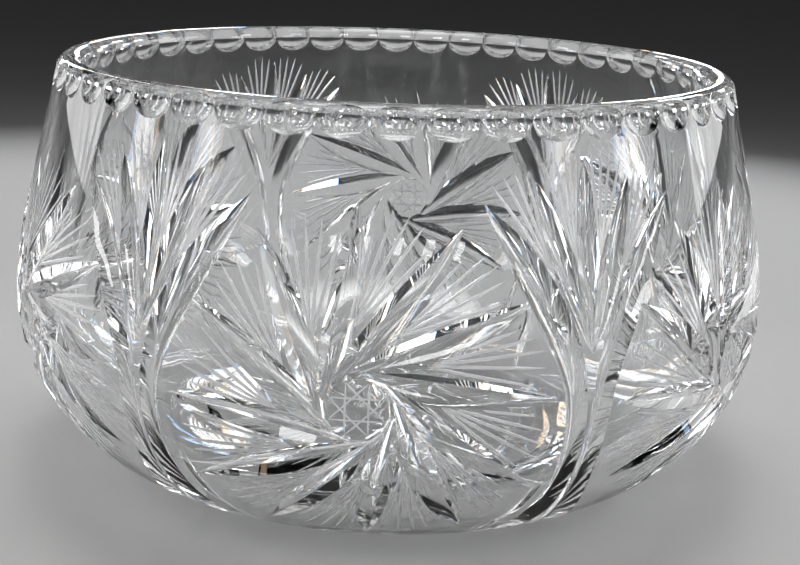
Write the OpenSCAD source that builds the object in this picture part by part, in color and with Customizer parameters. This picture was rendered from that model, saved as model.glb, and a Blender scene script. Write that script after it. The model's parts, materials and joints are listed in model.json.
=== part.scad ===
// Punch bowl in cut lead crystal: one solid piece of glass, open at the top.
// Millimetres. +Z is up, the origin is the centre of the base, a pinwheel faces -Y.

/* [Body] */
// Height of the bowl
bowl_h = 142; // [120:1:170]
// Widest diameter, at the belly
belly_d = 254; // [200:2:300]
// Height of the widest line
belly_z = 64; // [50:1:80]
// Radius of the profile below the belly
lower_r = 60; // [45:1:75]
// Radius of the profile above the belly
upper_r = 115; // [80:5:150]
// Lean of the straight neck from upright, degrees
neck_lean = 13.6; // [5:0.2:20]
// Radius of the flat base
base_r = 62; // [45:1:75]

/* [Wall] */
// Thickness of the belly wall
wall = 10; // [6:0.5:14]
// Thickness of the rim, which is half round on top
rim_w = 8; // [5:0.5:10]
// Thickness of the floor
floor_t = 14; // [8:1:20]

/* [Rim scallops] */
// Number of scallops round the rim
scallop_n = 48; // [24:6:72]
// Radius of the round wheel that cuts them
scallop_r = 13.5; // [8:0.5:20]
// Height of a scallop below the top of the rim
scallop_h = 7.6; // [4:0.2:12]

/* [Pinwheels] */
// Number of pinwheels, with a fan between each two
pinwheel_n = 6; // [4:1:8]
// Height of the pinwheel centres
hub_z = 62; // [50:1:75]
// Vanes in a pinwheel
vane_n = 12; // [8:1:16]
// Distance of a vane's tip from the centre
vane_tip = 56; // [45:1:62]
// Distance at which a vane's line passes the centre
vane_miss = 10.8; // [6:0.2:15]
// How far a vane runs on past its nearest point
vane_tail = 4.5; // [0:0.5:10]
// Depth of a vane at its middle
vane_depth = 2.5; // [1:0.1:4]
// Slope of a vane's steep flank, degrees
vane_steep = 45; // [30:1:60]
// Slope of a vane's broad flank, degrees
vane_broad = 20; // [15:1:40]

/* [Fans] */
// Height at which the middle leaves meet
fan_z = 76; // [60:1:90]
// Height of the middle tip
fan_top = 128; // [110:1:132]
// Drop of the side tips below the middle one
fan_drop = 5.5; // [0:0.5:12]
// Spacing of the tips round the bowl
fan_step = 15; // [10:0.5:18]
// Depth of a leaf at its middle
leaf_depth = 2; // [1:0.1:3]
// Slope of a leaf's flanks, degrees
leaf_slope = 27; // [20:1:45]
// Distance of each stem line from the fan's centre line
stem_x = 4; // [2:0.5:8]
// Depth of the stem lines
stem_depth = 2; // [1:0.1:3]

/* [Hidden] */
$fn = 144;
belly_r = belly_d / 2;
low_c = [belly_r - lower_r, belly_z];
up_c = [belly_r - upper_r, belly_z];
neck_a = neck_lean;
neck_p = up_c + upper_r * [cos(neck_a), sin(neck_a)];
rim_z = bowl_h - rim_w / 2;
rim_out = neck_p.x - (rim_z - neck_p.y) * tan(neck_a);
rim_c = [rim_out - rim_w / 2, rim_z];
rim_in = rim_out - rim_w;
// The line from the base's edge touches the lower arc here.
base_v = [base_r, 0] - low_c;
base_a = atan2(base_v.y, base_v.x) + acos(lower_r / norm(base_v));
base_p = low_c + lower_r * [cos(base_a), sin(base_a)];
m_neck = upper_r * neck_a * PI / 180;
m_base = lower_r * base_a * PI / 180;
m_hub = lower_r * asin((hub_z - belly_z) / lower_r) * PI / 180;
sector = 360 / pinwheel_n;
cut_over = 0.6;
arc_step = 7.5;

// ---- the outer skin, by distance m along the profile from the belly, up being positive ----
function deg(arc, r) = arc / r * 180 / PI;
function skin(m) =
    m > m_neck ? neck_p + (m - m_neck) * [-sin(neck_a), cos(neck_a)] :
    m > 0 ? up_c + upper_r * [cos(deg(m, upper_r)), sin(deg(m, upper_r))] :
    m > m_base ? low_c + lower_r * [cos(deg(m, lower_r)), sin(deg(m, lower_r))] :
    base_p + (m_base - m) * [sin(base_a), -cos(base_a)];
function lean(m) =
    m > m_neck ? neck_a : m > 0 ? deg(m, upper_r) : m > m_base ? deg(m, lower_r) : base_a;
// A point at sideways distance x, sunk below the skin by d, on the side that faces -Y.
function on_skin(x, m, d = 0) =
    let (p = skin(m) - d * [cos(lean(m)), sin(lean(m))], a = deg(x, skin(m).x) - 90)
    [p.x * cos(a), p.x * sin(a), p.y];
function m_of(z) = z > neck_p.y ? m_neck + (z - neck_p.y) / cos(neck_a) :
    z > belly_z ? upper_r * asin((z - belly_z) / upper_r) * PI / 180 :
    lower_r * asin((z - belly_z) / lower_r) * PI / 180;
function unit(v) = v / norm(v);

// ---- cutters ----
// A V cut that runs straight from a to b, two points of the flattened skin [x, m], and is deepest halfway.
// Its bottom is an arc in the plane that stands square on the skin.
// The slopes of its flanks are those to the left and right of someone outside looking from a to b.
module v_cut(a, b, depth, left_slope, right_slope) {
    p = on_skin(a.x, a.y);
    q = on_skin(b.x, b.y);
    s = on_skin((a.x + b.x) / 2, (a.y + b.y) / 2);
    chord = q - p;
    along = unit(chord);
    normal = s - on_skin((a.x + b.x) / 2, (a.y + b.y) / 2, 1);
    up = unit(normal - (normal * along) * along);
    // The bottom's rise above the chord: negative where it hangs below.
    rise = (s - p) * up - depth;
    flip = rise < 0 ? -1 : 1;
    r = (chord * chord / 4 + rise * rise) / (2 * abs(rise));
    c = (p + q) / 2 + (rise - flip * r) * up;
    half = asin(norm(chord) / 2 / r) * 1.05;
    h = depth + cut_over;
    left = h / tan(left_slope);
    right = h / tan(right_slope);
    out = flip * up;
    side = cross(along, up);
    turn = cross(side, out);
    multmatrix([[out.x, turn.x, side.x, c.x], [out.y, turn.y, side.y, c.y],
                [out.z, turn.z, side.z, c.z], [0, 0, 0, 1]])
        rotate([0, 0, -half])
            rotate_extrude(angle = 2 * half, $fn = 360)
                polygon([[r, 0], [r + flip * h, right], [r + flip * h, -left]]);
}

module vane(k) {
    tip_a = 360 / vane_n * k + 2;
    near_a = tip_a + acos(vane_miss / vane_tip);
    tip = vane_tip * [cos(tip_a), sin(tip_a)];
    near = vane_miss * [cos(near_a), sin(near_a)];
    root = near - vane_tail * unit(tip - near);
    v_cut([root.x, m_hub + root.y], [tip.x, m_hub + tip.y], vane_depth, vane_steep, vane_broad);
}

// Leaf k of a fan: 0 is the middle one, and the outermost two start lower, beside the stem.
module fan_leaf(k) {
    x = abs(k) < 2 ? 0 : sign(k) * stem_x;
    m = m_of(fan_z) - (abs(k) < 2 ? 0 : 16);
    v_cut([x, m], [k * fan_step, m_of(fan_top - abs(k) * fan_drop)],
          leaf_depth, leaf_slope, leaf_slope);
}

module stem(side) {
    x = side * stem_x;
    v_cut([x, m_of(fan_z) - 4], [x, m_base + 2], stem_depth, leaf_slope, leaf_slope);
}

module scallop() {
    top = [rim_c.x - 0.8, bowl_h];
    low_z = bowl_h - scallop_h;
    low = [rim_out + (rim_z - low_z) * tan(neck_a), low_z];
    a = atan2(low.x - top.x, top.y - low.y);
    rotate([0, 0, -90])
        translate([top.x, 0, top.y])
            rotate([0, -a, 0])
                translate([scallop_r, 0, -14])
                    cylinder(r = scallop_r, h = 20);
}

// Points along an arc, both ends left out.
function arc(c, r, a0, a1, step) =
    let (n = max(1, ceil(abs(a1 - a0) / step)))
    [for (i = [1:1:n - 1]) c + r * [cos(a0 + (a1 - a0) * i / n), sin(a0 + (a1 - a0) * i / n)]];

module wall_half() {
    in_low = lower_r - wall;
    in_up = upper_r - wall;
    in_a = neck_a - 1.4;
    outer = concat([[0, 0], [base_r, 0], base_p], arc(low_c, lower_r, base_a, 0, arc_step),
                   [low_c + [lower_r, 0]], arc(up_c, upper_r, 0, neck_a, arc_step), [neck_p]);
    rim = concat([[rim_out, rim_z]], arc(rim_c, rim_w / 2, 0, 180, 30), [[rim_in, rim_z]]);
    inner = concat([up_c + in_up * [cos(in_a), sin(in_a)]], arc(up_c, in_up, in_a, 0, arc_step),
                   [low_c + [in_low, 0]], arc(low_c, in_low, 0, -90, arc_step),
                   [low_c - [0, in_low], [0, floor_t]]);
    polygon(concat(outer, rim, inner));
}

module round_bowl(n, first = 0) {
    for (i = [0:n - 1])
        rotate([0, 0, (i + first) * 360 / n])
            children();
}

// The cuts, in passes whose own cuts stay clear of each other.
half_n = vane_n / 2;
pass_n = 2 + half_n + 7;
module cutting_pass(n) {
    v = n - 2;
    f = v - half_n;
    if (n < 2)
        round_bowl(scallop_n / 2, 0.25 + n / 2)
            scallop();
    else if (v < half_n)
        round_bowl(pinwheel_n) {
            vane(v);
            vane(v + half_n);
        }
    else if (f < 5)
        round_bowl(pinwheel_n, 0.5)
            fan_leaf(f - 2);
    else
        round_bowl(pinwheel_n, 0.5)
            stem(f == 5 ? -1 : 1);
}

// The glass after its first n passes.
module cut_glass(n) {
    if (n == 0)
        rotate_extrude()
            wall_half();
    else
        difference() {
            cut_glass(n - 1);
            cutting_pass(n - 1);
        }
}

module bowl() {
    color([0.86, 0.9, 0.93, 0.6])
        cut_glass(pass_n);
}

bowl();
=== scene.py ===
"""Punch bowl in cut crystal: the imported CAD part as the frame, and a finely cut glass bowl over it."""
import json
from math import acos, asin, atan2, ceil, cos, hypot, pi, radians, sin, tan

import bpy
import numpy as np
from mathutils import Matrix, Vector

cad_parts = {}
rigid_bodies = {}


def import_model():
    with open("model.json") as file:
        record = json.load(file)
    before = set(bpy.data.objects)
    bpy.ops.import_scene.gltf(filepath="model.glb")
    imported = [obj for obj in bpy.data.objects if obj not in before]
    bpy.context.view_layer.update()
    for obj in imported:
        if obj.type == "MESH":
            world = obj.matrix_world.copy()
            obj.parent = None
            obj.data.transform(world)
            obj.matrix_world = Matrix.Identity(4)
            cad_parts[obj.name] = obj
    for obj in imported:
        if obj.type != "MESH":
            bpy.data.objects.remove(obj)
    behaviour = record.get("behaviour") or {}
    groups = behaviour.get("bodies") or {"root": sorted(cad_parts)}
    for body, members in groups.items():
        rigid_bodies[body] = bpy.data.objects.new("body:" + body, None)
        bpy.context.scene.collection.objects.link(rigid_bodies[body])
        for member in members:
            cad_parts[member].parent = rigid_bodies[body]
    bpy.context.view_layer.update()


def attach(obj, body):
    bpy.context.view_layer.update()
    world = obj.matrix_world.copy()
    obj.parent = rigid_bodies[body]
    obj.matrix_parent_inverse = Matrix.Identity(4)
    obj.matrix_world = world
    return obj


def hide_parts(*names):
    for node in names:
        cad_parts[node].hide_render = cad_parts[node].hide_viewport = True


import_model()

scene = bpy.context.scene
MM = 0.001

# ---- sizes, in millimetres: the CAD part's, apart from the scallops, leaves and stems ----
BOWL_H, BELLY_R, BELLY_Z = 142.0, 127.0, 64.0
LOWER_R, UPPER_R = 60.0, 115.0          # profile radii below and above the belly
NECK_A, BASE_R = radians(13.6), 62.0    # lean of the neck, radius of the flat base
WALL, RIM_W, FLOOR_T = 10.0, 8.0, 14.0
PINWHEELS = 6
SECTOR = 2 * pi / PINWHEELS
# The CAD cuts its scallops with a straight wheel, and this with an ellipsoid of these half-axes.
SCALLOPS, SCALLOP_WHEEL, SCALLOP_DIP = 48, (11.1, 7.85, 8.0), 1.6
HUB_Z, VANES, VANE_TIP, VANE_MISS, VANE_TAIL = 62.0, 12, 56.0, 10.8, 4.5
VANE_DEPTH, VANE_STEEP, VANE_BROAD = 2.5, radians(45), radians(20)
FAN_Z, FAN_TOP, FAN_DROP, FAN_STEP = 76.0, 128.0, 5.5, 15.0
LEAF_DEPTH, LEAF_SLOPE = 2.4, radians(31)        # 2 and 27 degrees in the CAD
STEM_X, STEM_DEPTH = 3.6, 1.9                    # 4 and 2 in the CAD

# ---- cuts that the CAD leaves out ----
FINE_DEPTH, FINE_SLOPE, FINE_FADE, HUB_STAR_DEPTH = 0.52, radians(46), 0.45, 0.33
STAR_RAYS, STAR_IN, STAR_R, STAR_DEPTH, STAR_SLOPE = 24, 26.0, 58.0, 1.5, radians(33)
FLANK_STEPS = 7                         # steps across a flank that is ground hollow


def polar(r, a):
    return np.array([r * cos(a), r * sin(a)])


LOW_C = np.array([BELLY_R - LOWER_R, BELLY_Z])
UP_C = np.array([BELLY_R - UPPER_R, BELLY_Z])
NECK_P = UP_C + polar(UPPER_R, NECK_A)
RIM_Z = BOWL_H - RIM_W / 2
RIM_OUT = NECK_P[0] - (RIM_Z - NECK_P[1]) * tan(NECK_A)
RIM_IN = RIM_OUT - RIM_W
RIM_C = np.array([RIM_OUT - RIM_W / 2, RIM_Z])
_base = np.array([BASE_R, 0]) - LOW_C
BASE_A = atan2(_base[1], _base[0]) + acos(LOWER_R / hypot(*_base))
BASE_P = LOW_C + polar(LOWER_R, BASE_A)
M_NECK, M_BASE = UPPER_R * NECK_A, LOWER_R * BASE_A


# ---- the outer skin: m is the distance along the profile from the belly, x the distance sideways ----
def unit(v):
    return v / np.linalg.norm(v, axis=-1, keepdims=True)


def on_skin(x, m):
    """Points on the side that faces -Y, and the normals there."""
    x, m = np.asarray(x, float), np.asarray(m, float)
    up = m > 0
    c, r = np.where(up, UP_C[0], LOW_C[0]), np.where(up, UPPER_R, LOWER_R)
    lean = np.clip(m / r, BASE_A, NECK_A)
    past = m - lean * r
    rad = c + r * np.cos(lean) - past * np.sin(lean)
    z = BELLY_Z + r * np.sin(lean) + past * np.cos(lean)
    a = x / rad - pi / 2
    out = np.stack([np.cos(a), np.sin(a)])
    return (np.stack([rad * out[0], rad * out[1], z], -1),
            np.stack([np.cos(lean) * out[0], np.cos(lean) * out[1], np.sin(lean)], -1))


def m_of(z):
    if z > NECK_P[1]:
        return M_NECK + (z - NECK_P[1]) / cos(NECK_A)
    r = UPPER_R if z > BELLY_Z else LOWER_R
    return r * asin((z - BELLY_Z) / r)


def skin_gap(p):
    """How far points are outside the skin, and the normals of the nearest skin."""
    rad, z = np.hypot(p[:, 0], p[:, 1]), p[:, 2]
    up = z > BELLY_Z
    dr = rad - np.where(up, UP_C[0], LOW_C[0])
    dz = z - BELLY_Z
    r = np.where(up, UPPER_R, LOWER_R)
    a = np.clip(np.arctan2(dz, dr), BASE_A, NECK_A)
    gap = dr * np.cos(a) + dz * np.sin(a) - r
    return gap, np.stack([np.cos(a) * p[:, 0] / rad, np.cos(a) * p[:, 1] / rad, np.sin(a)], -1)


def straight(a, b, n):
    """n points on the skin over the chord from a to b, and their normals: a cut made in one straight pass."""
    ends, normals = on_skin([a[0], b[0], (a[0] + b[0]) / 2], [a[1], b[1], (a[1] + b[1]) / 2])
    chord = ends[1] - ends[0]
    along = unit(chord)
    up = unit(normals[2] - (normals[2] @ along) * along)
    t = np.linspace(0, 1, n)
    pts = ends[0] + chord * t[:, None]
    for _ in range(6):
        gap, nrm = skin_gap(pts)
        pts = pts - (gap / (nrm @ up))[:, None] * up
    return pts, skin_gap(pts)[1], t


def sweep(pts, nrm, depth, left, right, hollow=(1, 1), over=0.6):
    """A closed cutting wedge along pts, with its edge at depth below them. left and right are the slopes
    of its flanks' chords, and hollow is the power that each flank rises with: 1 is flat."""
    along = unit(np.gradient(pts, axis=0))
    up = unit(nrm - (nrm * along).sum(1)[:, None] * along)
    side = np.cross(along, up)
    depth = np.maximum(depth, 0.02)
    ring = [(0.0, -1.0, 0.0)]           # each point of the section: sideways, up and past the skin
    for s, slope, power in ((-1, left, hollow[0]), (1, right, hollow[1])):
        steps = 0 if power == 1 else FLANK_STEPS
        flank = [(s * (q / steps) / tan(slope), (q / steps) ** power - 1, 0.0) for q in range(1, steps + 1)]
        flank.append((s / tan(slope), 0.0, s * over / (power * tan(slope))))
        ring = ring + flank if s == 1 else flank[::-1] + ring
    v = [pts + (a * depth + c)[:, None] * side
         + ((b * depth) if c == 0 else np.full(len(pts), over))[:, None] * up
         for a, b, c in ring]
    n, m = len(pts), len(ring)
    f = [(j * n + i, (j + 1) % m * n + i, (j + 1) % m * n + i + 1, j * n + i + 1)
         for i in range(n - 1) for j in range(m)]
    ends = [tuple(j * n for j in range(m))[::-1], tuple(j * n + n - 1 for j in range(m))]
    return np.concatenate(v), f + ends


cutters = []    # (vertices, faces, kind of cut, first turn in sectors)
POLISHED, FINE = 0, 1


def leaf(a, b, depth, slopes, kind, power=1.0, n=17, turn=0.0, hollow=(1, 1)):
    pts, nrm, t = straight(a, b, n)
    cutters.append(sweep(pts, nrm, depth * np.clip(4 * t * (1 - t), 0, 1) ** power, *slopes, hollow)
                   + (kind, turn))


# ---- pinwheels ----
M_HUB = m_of(HUB_Z)


def at_hub(r, a):
    return polar(r, a) + (0, M_HUB)


def fine(a, b, depth=FINE_DEPTH, n=11, turn=0.0):
    leaf(a, b, depth, (FINE_SLOPE, FINE_SLOPE), FINE, FINE_FADE, n, turn)


for k in range(VANES):
    step = 2 * pi / VANES
    tip_a = step * k + radians(2)
    tip = polar(VANE_TIP, tip_a)
    near = polar(VANE_MISS, tip_a + acos(VANE_MISS / VANE_TIP))
    root = near - VANE_TAIL * unit(tip - near)
    leaf(root + (0, M_HUB), tip + (0, M_HUB), VANE_DEPTH, (VANE_STEEP, VANE_BROAD), POLISHED, 1.0, 21,
         hollow=(1, 1.8))
    # Fine lines fill the gap to the next vane, from where the two part.
    fork = at_hub(21.5, tip_a + radians(5))
    for i, reach in enumerate((48.5, 52.5, 54, 52.5, 49)):
        fine(fork, at_hub(reach, tip_a - step + radians(5.5 + 4.9 * i)))
# An eight-pointed star on each hub, each point joined to the third one round from it.
for k in range(8):
    a = radians(22.5 + 45 * k)
    fine(at_hub(8.3, a), at_hub(8.3, a + radians(135)), HUB_STAR_DEPTH, 7)

# ---- fans ----
M_FAN = m_of(FAN_Z)


def fan_tip(k, rise=0.0):
    return np.array([k * FAN_STEP, m_of(FAN_TOP - abs(k) * FAN_DROP) + rise])


for k in (-1, 0, 1):
    leaf((0, M_FAN), fan_tip(k), LEAF_DEPTH, (LEAF_SLOPE, LEAF_SLOPE), POLISHED, 0.9, 21, 0.5, (1.35, 1.35))
for s in (-1, 1):
    # The outer leaves sweep down into the stem: a smooth line over these points, deep where it is widest.
    way = np.array([[s * 2 * FAN_STEP, m_of(FAN_TOP - 2 * FAN_DROP)], [s * 19.5, m_of(101.0)],
                    [s * 10.2, m_of(83.0)], [s * 4.9, m_of(66.0)], [s * STEM_X, m_of(48.0)],
                    [s * 4.6, m_of(28.0)], [s * 11, m_of(6.0)]])
    at = np.linspace(0, len(way) - 1, 61)
    i = np.clip(at.astype(int), 0, len(way) - 2)
    u = (at - i)[:, None]
    slope = np.gradient(way, axis=0)
    line = ((2 * u**3 - 3 * u**2 + 1) * way[i] + (u**3 - 2 * u**2 + u) * slope[i]
            + (3 * u**2 - 2 * u**3) * way[i + 1] + (u**3 - u**2) * slope[i + 1])
    deep = np.interp(at, [0, 0.5, 1, 1.6, 2.1, 3, 4.6, 5.5, 6],
                     [0, 1.6, 2.7, 3.1, 3.0, 2.2, STEM_DEPTH, 2.8, 0.6])
    pts, nrm = on_skin(line[:, 0], line[:, 1])
    cutters.append(sweep(pts, nrm, deep, LEAF_SLOPE, LEAF_SLOPE, (1.25, 1.25)) + (POLISHED, 0.5))
for k in (-2, -1, 0, 1):
    # Fine lines between two leaves reach past their tips.
    mid = (fan_tip(k) + fan_tip(k + 1)) / 2
    foot = np.array([0, M_FAN]) + (mid - (0, M_FAN)) * 0.5
    for i in (-1.5, -0.5, 0.5, 1.5):
        fine(foot, mid + (i * 3.3, 5.5 - abs(i) * 1.5 - i * np.sign(k + 0.5) * 0.8), turn=0.5)


# ---- a star of straight cuts under the base ----
for k in range(STAR_RAYS // PINWHEELS):
    a = 2 * pi * (k + 0.5) / STAR_RAYS
    t = np.linspace(0, 1, 15)
    reach = STAR_IN + (STAR_R - STAR_IN) * t
    pts = np.stack([reach * cos(a), reach * sin(a), 0 * t], -1)
    cutters.append(sweep(pts, np.tile([0.0, 0.0, -1.0], (15, 1)), STAR_DEPTH * (4 * t * (1 - t)) ** 0.8,
                         STAR_SLOPE, STAR_SLOPE) + (POLISHED, 0.0))


# ---- meshes ----
def to_object(name, v, f, material=None):
    mesh = bpy.data.meshes.new(name)
    mesh.from_pydata([tuple(p) for p in np.asarray(v) * MM], [], f)
    if material:
        mesh.materials.append(material)
    return bpy.data.objects.new(name, mesh)


def turned(v, a):
    c, s = cos(a), sin(a)
    return np.asarray(v) @ np.array([[c, s, 0], [-s, c, 0], [0, 0, 1]])


def arc(c, r, a0, a1, step):
    n = ceil(abs(a1 - a0) / radians(step))
    return [c + polar(r, a0 + (a1 - a0) * i / n) for i in range(n + 1)]


def line(p, q, n):
    p, q = np.asarray(p, float), np.asarray(q, float)
    return [p + (q - p) * i / n for i in range(n + 1)]


def revolve(profile, n, low, high):
    """A closed solid from a profile, with the axis points low and high."""
    k = len(profile)
    prof = np.array(profile)
    a = np.arange(n) * 2 * pi / n
    v = np.stack([np.outer(np.cos(a), prof[:, 0]), np.outer(np.sin(a), prof[:, 0]),
                  np.tile(prof[:, 1], (n, 1))], -1).reshape(-1, 3)
    v = np.concatenate([v, [[0, 0, low], [0, 0, high]]])
    f = [(i * k + q, (i + 1) % n * k + q, (i + 1) % n * k + q + 1, i * k + q + 1)
         for i in range(n) for q in range(k - 1)]
    f += [(n * k, (i + 1) % n * k, i * k) for i in range(n)]
    f += [(n * k + 1, i * k + k - 1, (i + 1) % n * k + k - 1) for i in range(n)]
    return v, f


def blank():
    """The bowl before cutting."""
    in_a = NECK_A - radians(1.4)
    in_top = UP_C + polar(UPPER_R - WALL, in_a)
    outer = (line((20, 0), (BASE_R - 0.8, 0), 3) + [np.array([BASE_R, 0.25])]
             + arc(LOW_C, LOWER_R, BASE_A, 0, 2.5) + arc(UP_C, UPPER_R, 0, NECK_A, 2)[1:]
             + line(NECK_P, (RIM_OUT, RIM_Z), 9)[1:])
    rim = arc(RIM_C, RIM_W / 2, 0, pi, 11.3)[1:-1]
    inner = (line((RIM_IN, RIM_Z), in_top, 9) + arc(UP_C, UPPER_R - WALL, in_a, 0, 2.5)[1:]
             + arc(LOW_C, LOWER_R - WALL, 0, -pi / 2, 3)[1:] + line((45, FLOOR_T), (20, FLOOR_T), 2))
    return revolve(outer + rim + inner, 216, 0, FLOOR_T)


def scallop():
    """A rounded wheel that dips into the rim's outer edge, as an ellipsoid."""
    wide, tall, deep = SCALLOP_WHEEL
    high, low = RIM_C + (2.2, 3.34), RIM_C + (5.2, -5.0)
    along = unit(high - low)
    out = np.array([along[1], -along[0]])
    centre = (high + low) / 2 + out * (deep - SCALLOP_DIP)
    turns, rings = 36, [6, 12, 18, 24, 30, 36, 42, 48, 55, 65, 80, 100, 130, 160]
    v = [(0.0, *(centre - out * deep))]
    for ring in rings:
        t = radians(ring)
        for k in range(turns):
            a = 2 * pi * k / turns
            v.append((wide * sin(t) * cos(a), *(centre - out * deep * cos(t) + along * tall * sin(t) * sin(a))))
    v.append((0.0, *(centre + out * deep)))
    f = [(0, 1 + k, 1 + (k + 1) % turns) for k in range(turns)]
    for r in range(len(rings) - 1):
        b = 1 + r * turns
        f += [(b + k, b + turns + k, b + turns + (k + 1) % turns, b + (k + 1) % turns) for k in range(turns)]
    b = 1 + (len(rings) - 1) * turns
    f += [(b + k, len(v) - 1, b + (k + 1) % turns) for k in range(turns)]
    v = np.array(v)
    return np.stack([v[:, 0], -v[:, 1], v[:, 2]], -1), f


def outward(v, f):
    """The faces turned so that they face out of the solid."""
    v = np.asarray(v)
    vol = sum(np.dot(v[q[0]], np.cross(v[q[i]], v[q[i + 1]])) for q in f for i in range(1, len(q) - 1))
    return f if vol > 0 else [tuple(reversed(q)) for q in f]


# ---- materials ----
def crystal(name, roughness, tint, waves, wave_scale, stretch=(1, 1, 1), clear=1.0):
    """Lead crystal: waves is the bump's strength, from the pull of the glass or the wheel's grain."""
    mat = bpy.data.materials.new(name)
    mat.use_nodes = True
    tree = mat.node_tree
    glass = tree.nodes["Principled BSDF"]
    glass.inputs["Base Color"].default_value = (*tint, 1)
    glass.inputs["Transmission Weight"].default_value = clear
    glass.inputs["IOR"].default_value = 1.545
    place = tree.nodes.new("ShaderNodeTexCoord")
    scale = tree.nodes.new("ShaderNodeMapping")
    scale.inputs["Scale"].default_value = stretch
    noise = tree.nodes.new("ShaderNodeTexNoise")
    noise.inputs["Scale"].default_value = wave_scale
    noise.inputs["Detail"].default_value = 3
    bump = tree.nodes.new("ShaderNodeBump")
    bump.inputs["Strength"].default_value = waves
    bump.inputs["Distance"].default_value = 0.0005
    spread = tree.nodes.new("ShaderNodeMapRange")
    spread.inputs["To Min"].default_value = roughness[0]
    spread.inputs["To Max"].default_value = roughness[1]
    edge = tree.nodes.new("ShaderNodeBevel")    # the polish leaves every cut edge slightly round
    edge.samples = 4
    edge.inputs["Radius"].default_value = 0.0003
    tree.links.new(edge.outputs["Normal"], bump.inputs["Normal"])
    tree.links.new(place.outputs["Object"], scale.inputs["Vector"])
    tree.links.new(scale.outputs["Vector"], noise.inputs["Vector"])
    tree.links.new(noise.outputs["Fac"], bump.inputs["Height"])
    tree.links.new(noise.outputs["Fac"], spread.inputs["Value"])
    tree.links.new(spread.outputs["Result"], glass.inputs["Roughness"])
    tree.links.new(bump.outputs["Normal"], glass.inputs["Normal"])
    return mat


polished = crystal("crystal_polished", (0.0, 0.012), (0.985, 0.99, 0.99), 0.05, 60, (1, 1, 0.5))
ground = crystal("crystal_fine_cut", (0.3, 0.5), (0.98, 0.985, 0.99), 0.3, 2500, (1, 1, 1), 0.52)

# ---- the bowl ----
v, f = blank()
body = to_object("bowl_blank", v, outward(v, f), polished)
scene.collection.objects.link(body)
wheels = bpy.data.collections.new("wheels")
scene.collection.children.link(wheels)
for i, (v, f, kind, turn) in enumerate(cutters):
    f = outward(v, f)
    for s in range(PINWHEELS):
        wheels.objects.link(to_object(f"wheel_{i}_{s}", turned(v, (s + turn) * SECTOR), f,
                                      (polished, ground)[kind]))
v, f = scallop()
f = outward(v, f)
for i in range(SCALLOPS):
    wheels.objects.link(to_object(f"scallop_{i}", turned(v, (i + 0.5) * 2 * pi / SCALLOPS), f, polished))

cut = body.modifiers.new("cut", "BOOLEAN")
cut.operation, cut.solver, cut.operand_type = "DIFFERENCE", "MANIFOLD", "COLLECTION"
cut.collection, cut.material_mode = wheels, "TRANSFER"
mesh = bpy.data.meshes.new_from_object(body.evaluated_get(bpy.context.evaluated_depsgraph_get()))
for obj in [body, *wheels.objects]:
    data = obj.data
    bpy.data.objects.remove(obj)
    bpy.data.meshes.remove(data)
bpy.data.collections.remove(wheels)
mesh.name = "crystal_bowl"
mesh.polygons.foreach_set("use_smooth", np.ones(len(mesh.polygons), bool))
mesh.set_sharp_from_angle(angle=radians(11))
bowl = bpy.data.objects.new("crystal_bowl", mesh)
scene.collection.objects.link(bowl)
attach(bowl, "root")
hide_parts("bowl")
print("TRIANGLES", sum(len(p.vertices) - 2 for p in mesh.polygons))

# ---- floor ----
FLOOR_R, n = 6000.0, 64                 # a disc far wider than any view
floor = to_object("floor", [(*polar(FLOOR_R, 2 * pi * i / n), -0.02) for i in range(n)], [tuple(range(n))])
pale = bpy.data.materials.new("floor_pale")
pale.use_nodes = True
paint = pale.node_tree.nodes["Principled BSDF"]
paint.inputs["Base Color"].default_value = (0.43, 0.43, 0.425, 1)
paint.inputs["Roughness"].default_value = 0.85
floor.data.materials.append(pale)
scene.collection.objects.link(floor)


# ---- light ----
def softbox(name, at, aim, size, power, tint=(1, 1, 1), spread=180):
    lamp = bpy.data.lights.new(name, "AREA")
    lamp.shape, lamp.size, lamp.size_y, lamp.energy = "RECTANGLE", size[0], size[1], power
    lamp.color, lamp.spread = tint, radians(spread)
    obj = bpy.data.objects.new(name, lamp)
    obj.location = at
    obj.rotation_euler = (Vector(aim) - Vector(at)).to_track_quat("-Z", "Y").to_euler()
    scene.collection.objects.link(obj)


STUDIO_R, STUDIO_Z = 0.62, 0.32         # where the side panels and strips stand, in metres


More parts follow.
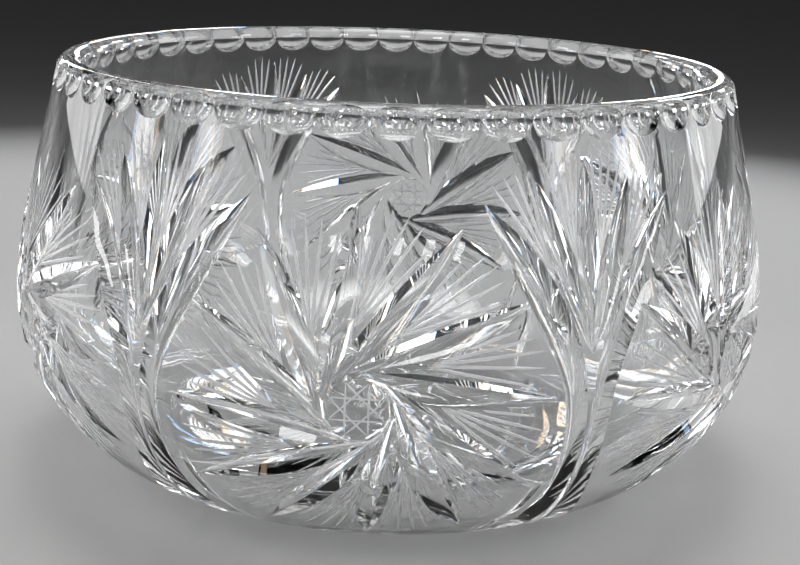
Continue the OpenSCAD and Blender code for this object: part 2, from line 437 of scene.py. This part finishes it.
def strip(name, turn, power, width=0.06, height=0.45):
    """A tall soft strip, cool along one edge and warm along the other, as lead crystal spreads light."""
    for part, shift, share, wide, tint in (("cool", -0.435, 0.13, 0.13, (0.36, 0.6, 1.0)),
                                           ("mid", 0.0, 0.74, 0.74, (1.0, 1.0, 1.0)),
                                           ("warm", 0.435, 0.13, 0.13, (1.0, 0.76, 0.52))):
        a = radians(turn) + shift * width / STUDIO_R
        softbox(f"{name}_{part}", (STUDIO_R * cos(a), STUDIO_R * sin(a), STUDIO_Z), (0, 0, 0.1),
                (width * wide, height), power * share, tint)


softbox("top", (0, 0, 0.6), (0, 0, 0), (0.35, 0.35), 0.28, spread=60)
for i in range(5):
    x = 0.2 * (i - 2)
    softbox(f"front_{i}", (x, -0.75, 0.64), (x / 3, -0.1, 0.08), (0.06, 0.3), 0.33, spread=140)
for s, turn in ((-1, 163), (1, 24)):
    a = radians(turn)
    softbox(f"side_{s}", (STUDIO_R * cos(a), STUDIO_R * sin(a), STUDIO_Z), (0, 0, 0.12), (0.3, 0.4), 0.55,
            spread=120)
for i, (turn, power) in enumerate(((-38, 0.3), (-14, 0.55), (52, 0.8), (74, 0.8), (106, 0.8), (128, 0.8),
                                   (194, 0.55), (218, 0.35))):
    strip(f"strip_{i}", turn, power)
world = bpy.data.worlds.new("studio")
world.use_nodes = True
world.node_tree.nodes["Background"].inputs["Color"].default_value = (0.035, 0.035, 0.037, 1)
scene.world = world

# ---- camera: the height, distance, tilt and roll that the bowl's outline calls for ----
camera = bpy.data.objects.new("camera", bpy.data.cameras.new("camera"))
camera.data.lens = 63.9
camera.data.clip_start, camera.data.clip_end = 0.01, 50
ROUND, BACK, UP = radians(3.36), 0.484, 0.1957
AIM_TURN, TILT, ROLL = radians(0.46), radians(15.32), radians(2.2)
camera.matrix_world = (
    Matrix.Translation((BACK * sin(ROUND), -BACK * cos(ROUND), UP))
    @ Matrix.Rotation(ROUND - AIM_TURN, 4, "Z")
    @ Matrix.Rotation(radians(90) - TILT, 4, "X")
    @ Matrix.Rotation(ROLL, 4, "Z"))
scene.collection.objects.link(camera)
scene.camera = camera
scene.view_settings.view_transform = "Standard"
scene.cycles.max_bounces = 32
scene.cycles.transmission_bounces = 24
scene.cycles.glossy_bounces = 8
